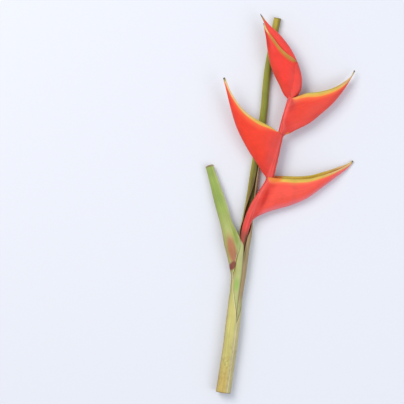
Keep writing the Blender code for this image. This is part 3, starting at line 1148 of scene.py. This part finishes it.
    def close_round(self, outer: Array, along: Array, held: Bract) -> Array:
        """Carry the base's edge round the young bract that it holds.

        Args:
            outer: the outer face.
            along: places along the bract.
            held: the younger bract inside.

        Returns:
            The moves, which fade away along the bract.
        """
        way = held.frame(np.linspace(0.0, self.held_part, self.held_steps))[0]
        base = outer[0]
        height = np.clip(base[:, 1], way[0, 1], way[-1, 1])
        goal = base.copy()
        goal[:, 0] = np.interp(height, way[:, 1], way[:, 0]) + self.hold_gap
        goal[:, 2] = np.interp(height, way[:, 1], way[:, 2]) + np.sign(base[:, 2] - way[0, 2]) * 0.2
        clear = ease(base[:, 1] - way[0, 1], *self.hold_start)[:, None]
        fade = (1.0 - np.clip(along / self.hold_share, 0.0, 1.0)) ** 3
        return fade[:, None, None] * (clear * (goal - base))[None]

    def build(self, stalk: FlowerStalk, held: Bract | None = None) -> None:
        """Model the bract and dress it.

        Args:
            stalk: the stalk that the base grows from.
            held: the younger bract that it holds between its cheeks.
        """
        along = np.linspace(0.0, 1.0, self.rings) ** self.crowding
        across = lip_spread(self.steps + 1)
        outer, inner = self.faces(along, across)
        steps = np.linalg.norm(np.diff(outer, axis=1), axis=2)
        walk = np.concatenate([np.zeros((self.rings, 1)), np.cumsum(steps, axis=1)], axis=1)
        margin = np.minimum(walk, walk[:, -1:] - walk)
        keel = np.abs(walk - walk[:, self.steps // 2, None])
        normal = np.cross(np.gradient(outer, axis=0), np.gradient(outer, axis=1))
        normal /= np.linalg.norm(normal, axis=2)[..., None] + 1e-9
        near_side = normal[self.rings // 2, int(self.steps * 0.8)]
        normal *= 1.0 if near_side[2] > 0.0 else -1.0
        rise = self.relief(along, across, margin)[..., None] * normal
        hold = (1.0 - ease(along, 0.0, self.clasp_share))[:, None, None]
        wrap = np.broadcast_to(self.wrap * np.abs(across), outer.shape[:2])
        full = ease(along, 0.0, self.wall_share)[:, None, None]
        wall = (inner - outer) * (self.base_wall + (1.0 - self.base_wall) * full)
        pull = hold * stalk.clasp(outer, wrap)
        if held is not None:
            pull = pull * (1.0 - ease(outer[..., 1:2], *self.hold_part))
            pull = pull + self.close_round(outer, along, held)
        outer = outer + rise + pull
        base = along < self.clasp_share
        outer[base] = stalk.keep_out(outer[base])
        rings = join_faces(outer, outer + wall)
        rings[..., 2] = np.maximum(rings[..., 2], 0.0)
        piece = roll(f"fine_{self.node}", rings, self.marks(rings, along, across, margin, keel))
        dress(piece, "bract", (self.node,), self.colours.finish(f"{self.node}_skin"), BRACT_CUT)

    def marks(self, rings: Array, along: Array, across: Array, margin: Array, keel: Array) -> Marks:
        """Mark the points for the skin.

        The bands at the margin narrow with the cheek, so the distance that marks them is
        stretched where the cheek is shallow.

        Args:
            rings: the points.
            along: places along the bract.
            across: places across it.
            margin: how far each outer point is from its margin.
            keel: how far each outer point is from the keel.

        Returns:
            The marks of every point.
        """
        length = distances_along(rings[:, self.steps // 2])[:, None]
        depth = (margin + keel)[:, self.steps // 2, None]
        edge = margin * np.sqrt(self.depths[1] / np.clip(depth, *self.depths))
        edge = edge / (0.02 + 0.98 * ease(along, 0.0, self.band_start))[:, None]
        pale = ease(along, *self.pale_part)[:, None] * (1.0 - ease(margin, *self.pale_band))
        root = (1.0 - ease(along, *self.root_part)[:, None]) * (1.0 - ease(edge, *self.root_band))
        marks = {
            Mark.ALONG: along[:, None],
            Mark.LENGTH: length,
            Mark.CUT: length[-1] - length,
            Mark.EDGE: edge,
            Mark.KEEL: keel,
            Mark.ROOT: root,
            Mark.PALE: pale,
            Mark.ACROSS: across[None, :] * self.girth,
        }
        marks = shell_marks(rings, marks, self.patches)
        marks[Mark.LIP] = marks[Mark.EDGE] + OUTSIDE * (1.0 - marks[Mark.INSIDE])
        return marks


@dataclass(frozen=True)
class Bud:
    """One slim flower bud: where it starts and ends along its bract, its rise and its lean."""

    start: float
    end: float
    rise: float
    lean: float


@dataclass
class FlowerCluster:
    """The true flowers low in the keel of one bract, on their short pad."""

    node: str
    bract: Bract
    buds: tuple[Bud, ...]
    pad: Pair = (0.08, 0.22)
    pad_rings: int = 14
    pad_reach: float = 0.38
    pad_inset: float = 0.6
    pad_tone: float = 0.2
    foot_rise: float = 0.15
    radius: float = 2.1
    tip: float = 0.02
    lean_share: float = 1.0
    shape: tuple[float, ...] = (0.7, 0.8, 1.0, 0.85, 0.3)
    wall: Pair = (2.2, 1.3)
    rings: int = 26
    sides: int = 24
    length: float = 40.0
    girth: float = 2.0

    def places(self, along: Array, across: Array, inset: float) -> Array:
        """Find points that lie some way inside the hollow of the bract.

        Args:
            along: places along the bract.
            across: places across its fold.
            inset: how far they keep from the wall.

        Returns:
            A table of points by place along and across.
        """
        keel, middle, gap = self.bract.frame(along)
        height, width = self.bract.fold(across, 0.0)
        floor = self.bract.floor(keel, middle, self.wall[0] + inset)
        thin = (self.wall[1] + inset) / np.linalg.norm(gap, axis=1)[:, None]
        half = gap * np.maximum(1.0 - thin, NARROWEST)
        table = floor[:, None] + (middle - floor)[:, None] * height[None, :, None]
        return table + half[:, None] * width[None, :, None]

    def bud(self, bud: Bud, number: int) -> Piece:
        """Model one bud, three-sided and pointed.

        Args:
            bud: where it stands.
            number: its number in the cluster.

        Returns:
            The bud's object.
        """
        share = np.linspace(0.0, 1.0, self.rings)
        way = bud.start + (bud.end - bud.start) * share
        climb = self.foot_rise + (bud.rise - self.foot_rise) * share
        lean = bud.lean * self.lean_share
        centres = []
        for along, rise in zip(way, climb):
            walls = self.places(np.array((along - 0.01, along)), np.array((-rise, rise)), self.radius)
            far, near = walls[1]
            centres.append(far + (near - far) * (lean + 1.0) / 2.0)
        centres = np.array(centres)
        angles = np.linspace(0.0, 2.0 * math.pi, self.sides, endpoint=False)
        radius = self.radius * profile(self.shape, share) * np.sqrt(1.0 - share**12)
        reach = (radius[:, None] + self.tip) * (1.0 + 0.1 * np.cos(3.0 * angles))
        rings = lay_rings(centres, ring_frames(centres), reach, reach, angles)
        return roll(f"bud_{number}", rings, self.marks(share, angles))

    def marks(self, share: Array, around: Array) -> Marks:
        """Mark a bud's or the pad's points by how far along and around they are."""
        along, across = share[:, None], around[None, :] * self.girth
        return {Mark.ALONG: along, Mark.LENGTH: along * self.length, Mark.ACROSS: across, Mark.EDGE: NO_EDGE}

    def build(self) -> None:
        """Model the cluster and dress it."""
        share = np.linspace(0.0, 1.0, self.pad_rings)
        along = self.pad[0] + (self.pad[1] - self.pad[0]) * share
        across = np.linspace(-self.pad_reach, self.pad_reach, self.sides)
        marks = self.marks(share * self.pad_tone, across)
        pad = roll("pad", self.places(along, across, self.pad_inset), marks)
        parts = [pad] + [self.bud(bud, number) for number, bud in enumerate(self.buds)]
        bpy.ops.object.select_all(action="DESELECT")
        for part in parts:
            part.select_set(True)
        bpy.context.view_layer.objects.active = pad
        bpy.ops.object.join()
        pad.name = f"fine_{self.node}"
        pad.data.name = pad.name
        for polygon in pad.data.polygons:
            polygon.material_index = 0
            polygon.use_smooth = True
        dress(pad, "flower", (self.node,), BUD_SKIN)


# The curves of the pieces, as the solids have them.

STALK_PATH = (
    (-103.5, -341.0, 12.5, 7.0),
    (-90.5, -252.5, 12.9, 7.0),
    (-78.5, -159.5, 13.1, 7.0),
    (-71.5, -105.5, 13.2, 7.0),
    (-68.0, -71.0, 13.5, 6.9),
    (-61.5, -38.5, 16.0, 6.9),
    (-48.5, -4.5, 18.9, 6.9),
    (-34.0, 19.0, 20.8, 6.7),
    (-21.5, 40.5, 22.3, 6.4),
    (-12.5, 73.0, 23.2, 6.0),
    (-2.5, 116.0, 24.0, 5.6),
    (6.5, 152.0, 24.8, 5.2),
    (17.0, 189.0, 25.5, 4.7),
)

OUTER_LEAF = (
    (-103.5, -341.0, 12.4, 13.6, 12.8, 63.0, 419.0, 2.7),
    (-90.5, -252.5, 12.9, 13.1, 12.6, 64.0, 420.0, 2.5),
    (-86.0, -216.0, 13.0, 13.2, 12.6, 60.0, 415.0, 2.4),
    (-83.8, -198.5, 13.1, 13.2, 12.6, 74.0, 384.0, 2.3),
    (-81.8, -182.5, 13.1, 13.3, 12.6, 94.0, 354.0, 2.2),
    (-77.0, -146.5, 13.2, 13.5, 12.6, 142.0, 322.0, 1.8),
    (-76.5, -128.5, 13.2, 13.6, 12.4, 152.0, 300.0, 1.8),
    (-79.0, -113.0, 13.4, 13.8, 12.4, 112.0, 274.0, 1.8),
    (-81.5, -92.5, 14.2, 15.6, 11.8, 76.0, 255.0, 2.0),
    (-84.8, -71.0, 15.4, 17.5, 12.9, 36.0, 245.0, 2.2),
    (-96.5, -33.5, 12.6, 13.2, 8.6, 38.0, 268.0, 2.8),
    (-110.5, 11.5, 9.6, 11.2, 7.6, 34.0, 300.0, 3.6),
    (-128.5, 70.0, 6.5, 7.8, 6.8, 30.0, 330.0, 3.8),
)

INNER_LEAF = (
    (-103.5, -341.0, 12.5, 10.3, 9.7, 66.5, 423.5, 2.2),
    (-90.5, -252.5, 12.9, 10.1, 9.7, 66.5, 423.5, 2.2),
    (-79.6, -169.0, 13.1, 10.6, 10.0, 66.5, 423.5, 2.4),
    (-74.2, -128.5, 13.3, 12.0, 10.4, 67.0, 424.0, 2.9),
    (-71.0, -100.5, 13.2, 12.2, 10.4, 73.0, 429.0, 2.9),
    (-67.9, -77.0, 13.0, 12.2, 10.8, 84.0, 424.0, 2.6),
    (-65.6, -64.0, 11.9, 12.4, 10.2, 136.0, 422.0, 2.2),
    (-62.6, -47.0, 9.8, 12.0, 9.0, 172.0, 398.0, 2.2),
    (-58.0, -20.5, 7.8, 9.8, 7.8, 160.0, 376.0, 3.2),
    (-53.5, 8.0, 6.9, 8.8, 7.0, 120.0, 400.0, 4.4),
    (-49.0, 40.5, 6.7, 8.2, 6.7, 74.0, 402.0, 5.0),
    (-40.5, 96.5, 6.6, 7.6, 6.4, 52.0, 388.0, 5.3),
    (-29.5, 168.5, 6.6, 6.9, 6.3, 35.0, 375.0, 5.3),
    (-23.0, 238.5, 6.5, 6.6, 6.3, 35.0, 375.0, 5.3),
    (-5.0, 336.5, 6.0, 6.5, 6.3, 35.0, 375.0, 5.3),
)

# How far the outer leaf's open margin sinks onto the inner leaf, by place along the stem.
OUTER_HUG = (
    (-175.0, 0.0), (-150.0, 0.8), (-128.0, 1.2), (-113.0, 2.6), (-102.0, 3.0), (-92.0, 1.4), (-75.0, 0.0),
)

# Patches of colour: the pink flush and the dark spot below the stub, the green diamond beside
# them, the pale and bright streaks of the leaf that shows to their right, and painted shade in
# that leaf's notch beside the stalk.
OUTER_PATCHES = (
    Patch(Mark.FLUSH, (-88.0, -84.0), (29.0, 8.0), 12.0),
    Patch(Mark.SPOT, (-87.0, -112.0), (11.0, 6.5), -38.0),
    Patch(Mark.STREAK, (-82.0, -60.0), (18.0, 4.5), 14.0),
)
INNER_PATCHES = (
    Patch(Mark.PALE, (-85.5, -132.0), (13.0, 3.2), 0.0),
    Patch(Mark.PALE, (-74.0, -96.0), (16.0, 3.2), -12.0),
    Patch(Mark.STREAK, (-80.0, -146.0), (12.0, 4.2), -6.0),
    # Painted shade: the dark notch of the inner leaf beside the stalk's foot.
    Patch(Mark.SPOT, (-65.0, -89.0), (20.0, 3.0), -7.0),
)

BRACTS = (
    Bract(
        node="bract_1_right",
        keel=((-55.5, -40.5), (-45.0, -26.0), (-27.0, -17.0), (20.0, -2.5), (47.0, 9.0),
              (74.0, 28.0), (103.0, 49.5), (121.0, 63.5), (132.2, 75.6)),
        margin=((-20.5, 46.0), (-14.0, 45.6), (7.5, 44.6), (29.0, 43.4), (56.0, 45.5),
                (74.0, 50.5), (103.0, 60.8), (121.0, 70.5), (130.4, 78.2)),
        keel_heights=(15.6, 3.0),
        margin_heights=(22.3, 3.0),
        half_gap=(8.9, 12.0, 12.0, 7.4, 0.8),
        far_lift=(4.5, 6.0, 6.8, 6.4, 0.0),
        colours=BractColours(
            "#fb5644", "#f47c86", "#f87a48", "#dcb84c", "#c4ac3e", 14.0, 7.0, 1.6, "#d0bc5c",
            3.5, 0.8, root=0.85,
        ),
        wrap=60.0,
        clasp_share=0.1,
        phase=0.6,
        # Painted shade in the hollow between the stalk and the cheek.
        patches=(Patch(Mark.SPOT, (-29.0, 10.0), (20.0, 4.5), -22.0),),
    ),
    Bract(
        node="bract_2_left",
        keel=((-27.0, 43.0), (-39.5, 66.0), (-57.0, 92.5), (-81.5, 140.5), (-91.5, 173.5),
              (-99.5, 206.5), (-104.4, 225.0)),
        margin=((0.0, 124.0), (-20.0, 138.0), (-39.5, 148.0), (-63.5, 164.0),
                (-87.5, 195.0), (-101.0, 226.0)),
        keel_heights=(22.4, 37.0),
        margin_heights=(24.2, 37.0),
        half_gap=(8.4, 11.4, 10.8, 6.4, 0.8),
        far_lift=(0.0, -1.5, -1.5, -1.0, 0.0),
        colours=BractColours(
            "#ee3f28", "#e0402f", "#f8683a", "#e2b84c", "#c0ac40", 18.0, 6.0, 1.8, "#d0bc58",
            4.5, 0.85,
        ),
        band_start=0.3,
        pale_part=(0.2, 0.55),
        phase=1.9,
    ),
    Bract(
        node="bract_3_right",
        keel=((4.5, 119.0), (22.0, 129.5), (52.0, 145.0), (74.0, 162.5), (95.5, 182.0),
              (117.5, 210.0), (134.8, 239.0)),
        margin=((26.0, 191.0), (47.5, 197.6), (65.0, 198.8), (87.0, 203.2), (109.0, 212.8),
                (126.0, 227.5), (132.8, 240.8)),
        keel_heights=(24.2, 12.0),
        margin_heights=(25.2, 12.0),
        half_gap=(7.5, 10.8, 10.2, 6.2, 0.8),
        far_lift=(1.0, 2.5, 3.2, 3.8, 0.0),
        base_bow=(-7.0, 2.0),
        colours=BractColours(
            "#ec4430", "#ea5048", "#f86c3c", "#ecae48", "#dcb850", 18.0, 8.0, 4.2, "#d0c870",
            5.5, 0.7, root=0.45,
        ),
        wrap=40.0,
        phase=3.1,
        patches=(
            # Painted shade in the hollow between the stalk and the cheek.
            Patch(Mark.SPOT, (21.0, 180.0), (22.0, 5.0), -20.0),
            Patch(Mark.FLUSH, (12.0, 123.5), (6.5, 5.0), -55.0),
        ),
    ),
    Bract(
        node="bract_4_left",
        keel=((13.0, 185.0), (3.8, 198.0), (-2.4, 211.5), (-12.5, 231.5), (-19.5, 251.0),
              (-24.5, 276.5), (-27.5, 299.0), (-32.3, 323.4)),
        margin=((30.5, 253.6), (24.2, 258.8), (9.4, 269.0), (-2.0, 279.9), (-12.4, 293.7),
                (-23.0, 308.0), (-30.9, 323.8)),
        keel_heights=(25.4, 31.0),
        margin_heights=(26.2, 31.0),
        half_gap=(9.4, 10.2, 9.2, 6.4, 0.8),
        far_lift=(0.0, -1.5, -1.5, -1.0, 0.0),
        base_bow=(2.5, -1.0),
        colours=BractColours(
            "#ee3c30", "#d4452f", "#e2502e", "#d4662c", "#b88a38", 10.5, 8.2, 5.8, "#c8964c",
            3.0, 0.9, brink_to=1.6,
        ),
        band_start=0.14,
        pale_part=(0.7, 0.92),
        # Painted shade on the shaded left part of the bract.
        patches=(Patch(Mark.SPOT, (-27.0, 296.0), (24.0, 6.0), 19.0),),
        phase=4.4,
    ),
    Bract(
        node="bract_5_young",
        keel=((20.5, 184.0), (35.5, 204.5), (37.2, 222.5), (31.5, 247.5), (21.0, 272.0),
              (9.0, 290.0), (-5.0, 306.0), (-22.0, 321.5), (-37.0, 340.4)),
        margin=((18.0, 190.0), (17.5, 205.0), (15.5, 222.5), (10.0, 244.0), (0.0, 269.0),
                (-14.0, 290.0), (-22.0, 305.0), (-28.2, 319.5), (-37.8, 339.6)),
        keel_heights=(25.5, 33.0),
        margin_heights=(25.5, 33.0),
        half_gap=(2.2, 2.8, 2.6, 1.6, 0.6),
        far_lift=(0.0, 0.0, 0.0, 0.0, 0.0),
        colours=BractColours(
            "#f04438", "#e84c44", "#ee4e32", "#e05038", "#c86a3c", 5.0, 2.5, 1.2, "#a86a40",
            9.0,
        ),
        closing=0.85,
        hollow_end=0.9,
        wave=0.25,
        phase=5.2,
    ),
)

BUDS = (
    Bud(0.10, 0.42, 0.75, -0.5),
    Bud(0.12, 0.50, 0.60, 0.6),
    Bud(0.15, 0.40, 0.45, -0.7),
    Bud(0.17, 0.34, 0.35, 0.4),
)

# The half open bract that holds the youngest one, and how its buds differ from the others.
HOLDER = "bract_4_left"
NARROW_BUDS = {"radius": 1.5, "lean_share": 0.3}


# The studio.


@dataclass(frozen=True)
class Softbox:
    """One large soft light, aimed at the middle of the stem."""

    name: str
    place: tuple[float, float, float]
    size: float
    watts: float
    colour: str


@dataclass
class Studio:
    """The pale floor, the soft lights and the camera, which looks straight down."""

    view_width: float = 0.7272
    view_centre: Pair = (-0.1414, 0.004)
    subject_height: float = 0.022
    lens: float = 150.0
    sensor: float = 36.0
    floor_size: float = 14.0
    floor_colour: str = "#e4e7ee"
    floor_roughness: float = 0.9
    sky_colour: str = "#eef3fb"
    sky_strength: float = 0.56
    lights: tuple[Softbox, ...] = (
        Softbox("key_softbox", (-1.7, 1.5, 2.7), 1.9, 74.0, "#fffaf4"),
        Softbox("fill_softbox", (1.6, -0.8, 2.2), 1.8, 24.0, "#f4f6ff"),
    )

    def build(self) -> None:
        """Set up the studio."""
        self.add_floor()
        self.add_lights()
        self.add_camera()
        bpy.context.scene.view_settings.view_transform = "Standard"

    def add_floor(self) -> None:
        """Lay the plain pale floor."""
        bpy.ops.object.select_all(action="DESELECT")
        bpy.ops.mesh.primitive_plane_add(size=self.floor_size)
        floor = bpy.context.active_object
        floor.name = "studio_floor"
        material = bpy.data.materials.new("matt_paper_floor")
        material.use_nodes = True
        shader = material.node_tree.nodes["Principled BSDF"]
        shader.inputs["Base Color"].default_value = linear(self.floor_colour)
        shader.inputs["Roughness"].default_value = self.floor_roughness
        floor.data.materials.append(material)

    def add_lights(self) -> None:
        """Hang the soft lights and fill the room with pale light."""
        for box in self.lights:
            data = bpy.data.lights.new(box.name, "AREA")
            data.size = box.size
            data.energy = box.watts
            data.color = linear(box.colour)[:3]
            light = bpy.data.objects.new(box.name, data)
            light.location = box.place
            light.rotation_euler = (-Vector(box.place)).to_track_quat("-Z", "Y").to_euler()
            bpy.context.scene.collection.objects.link(light)
        world = bpy.data.worlds.new("pale_room")
        world.use_nodes = True
        background = world.node_tree.nodes["Background"]
        background.inputs["Color"].default_value = linear(self.sky_colour)
        background.inputs["Strength"].default_value = self.sky_strength
        bpy.context.scene.world = world

    def add_camera(self) -> None:
        """Place the camera over the same point that the photograph is centred on."""
        data = bpy.data.cameras.new("camera")
        data.lens = self.lens
        data.sensor_width = self.sensor
        distance = self.view_width * self.lens / self.sensor
        camera = bpy.data.objects.new("camera", data)
        camera.location = (*self.view_centre, distance + self.subject_height)
        bpy.context.scene.collection.objects.link(camera)
        bpy.context.scene.camera = camera


def main() -> None:
    """Build the stem piece by piece, then the studio around it."""
    logging.basicConfig(level=logging.INFO, format="%(name)s: %(message)s")
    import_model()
    stalk = FlowerStalk(STALK_PATH)
    Sheath(
        "outer_leaf_sheath", "outer_leaf", OUTER_LEAF, OUTER_LEAF_SKIN, OUTER_PATCHES, rings=190,
        hug=OUTER_HUG, cut_tilt=14.0,
    ).build()
    Sheath(
        "inner_leaf_sheath", "inner_leaf", INNER_LEAF, INNER_LEAF_SKIN, INNER_PATCHES, rings=240
    ).build()
    stalk.build()
    youngest = BRACTS[-1]
    youngest.build(stalk)
    for bract in BRACTS[:-1]:
        holds = bract.node == HOLDER
        bract.build(stalk, youngest if holds else None)
        node = bract.node.replace("bract", "flowers")
        FlowerCluster(node, bract, BUDS, **(NARROW_BUDS if holds else {})).build()
    Studio().build()


if __name__ == "__main__":
    main()
